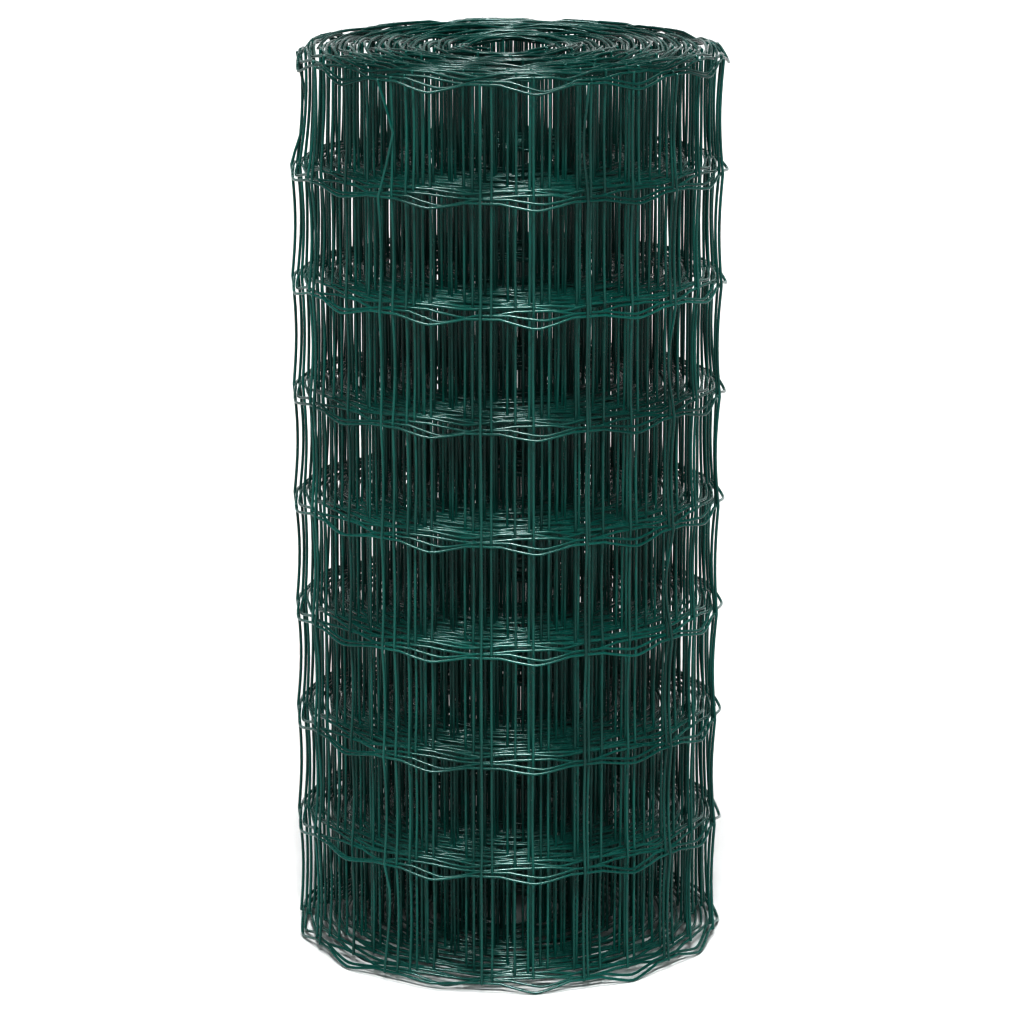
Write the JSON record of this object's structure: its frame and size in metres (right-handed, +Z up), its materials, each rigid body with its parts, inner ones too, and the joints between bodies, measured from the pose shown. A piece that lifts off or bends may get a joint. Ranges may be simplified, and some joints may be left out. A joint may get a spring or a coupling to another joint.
{
  "type": "welded wire fence roll",
  "caption": "Upright roll of plastic-coated welded wire fencing: kinked line wires and uprights wound in a spiral round an open bore, to be unrolled along a line of posts.",
  "frame": {"origin": "on the roll's axis, at the foot of its outer turn, which it stands on", "axes": "+Z up along the roll's axis and its bore"},
  "size_m": [0.394, 0.394, 0.8185],
  "materials": {
    "coated_wire": "glossy dark green plastic coat over steel wire"
  },
  "bodies": {
    "root": {"fence_roll": "coated_wire"}
  },
  "joints": []
}
